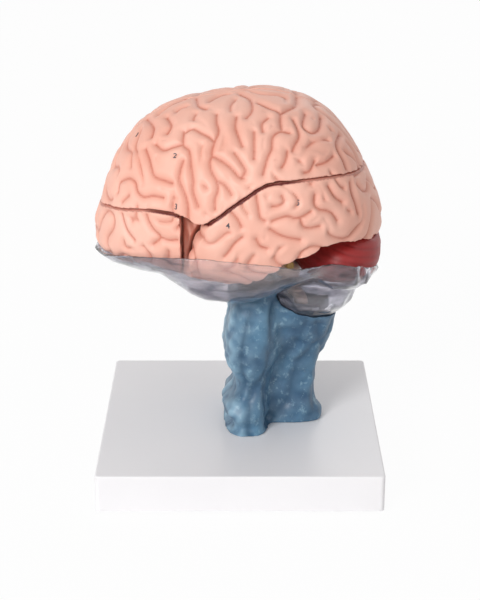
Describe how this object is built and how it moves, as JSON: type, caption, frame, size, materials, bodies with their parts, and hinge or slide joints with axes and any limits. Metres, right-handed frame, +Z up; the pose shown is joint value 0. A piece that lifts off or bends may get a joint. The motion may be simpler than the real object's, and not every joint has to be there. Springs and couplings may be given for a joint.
{
  "type": "anatomical brain model",
  "caption": "Life-size take-apart brain teaching model in a clear tray on a blue sculpted post and a square white base; the upper lobes lift off.",
  "frame": {"origin": "centre of the base's underside, on the plane the rubber feet stand on", "axes": "+X towards the back of the brain (occipital pole), -Y the brain's left side, +Z up"},
  "size_m": [0.184, 0.18, 0.2475],
  "materials": {
    "base_white": "satin",
    "foot_rubber": "matte",
    "post_blue": "hand-painted blue",
    "screw_steel": "zinc plated",
    "clear_plastic": "clear, vacuum formed",
    "brain_pink": "flesh pink with darker grooves",
    "cerebellum_red": "dark red",
    "stem_pale": "pale cream",
    "nerve_yellow": "yellow",
    "pin_white": "natural nylon"
  },
  "bodies": {
    "stand": {"base_shell": "base_white", "rubber_feet": "foot_rubber", "post": "post_blue", "post_screws": "screw_steel", "post_washers": "screw_steel", "clear_tray": "clear_plastic", "tray_screws": "screw_steel", "core_left": "brain_pink", "core_right": "brain_pink", "temporooccipital_left": "brain_pink", "temporooccipital_right": "brain_pink", "cerebellum_left": "cerebellum_red", "cerebellum_right": "cerebellum_red", "brainstem": "stem_pale", "nerve_stubs": "nerve_yellow", "frontoparietal_pins_left": "pin_white", "frontoparietal_pins_right": "pin_white", "temporal_pins_left": "pin_white", "temporal_pins_right": "pin_white", "core_pins": "pin_white", "cerebellum_pins": "pin_white", "brainstem_pins": "pin_white"},
    "upper_left": {"frontoparietal_left": "brain_pink"},
    "upper_right": {"frontoparietal_right": "brain_pink"}
  },
  "joints": [
    {"name": "frontoparietal_left_lift", "type": "slide", "parent": "stand", "child": "upper_left", "axis": [0, 0, 1], "range_m": [0, 0.06]},
    {"name": "frontoparietal_right_lift", "type": "slide", "parent": "stand", "child": "upper_right", "axis": [0, 0, 1], "range_m": [0, 0.06]}
  ]
}
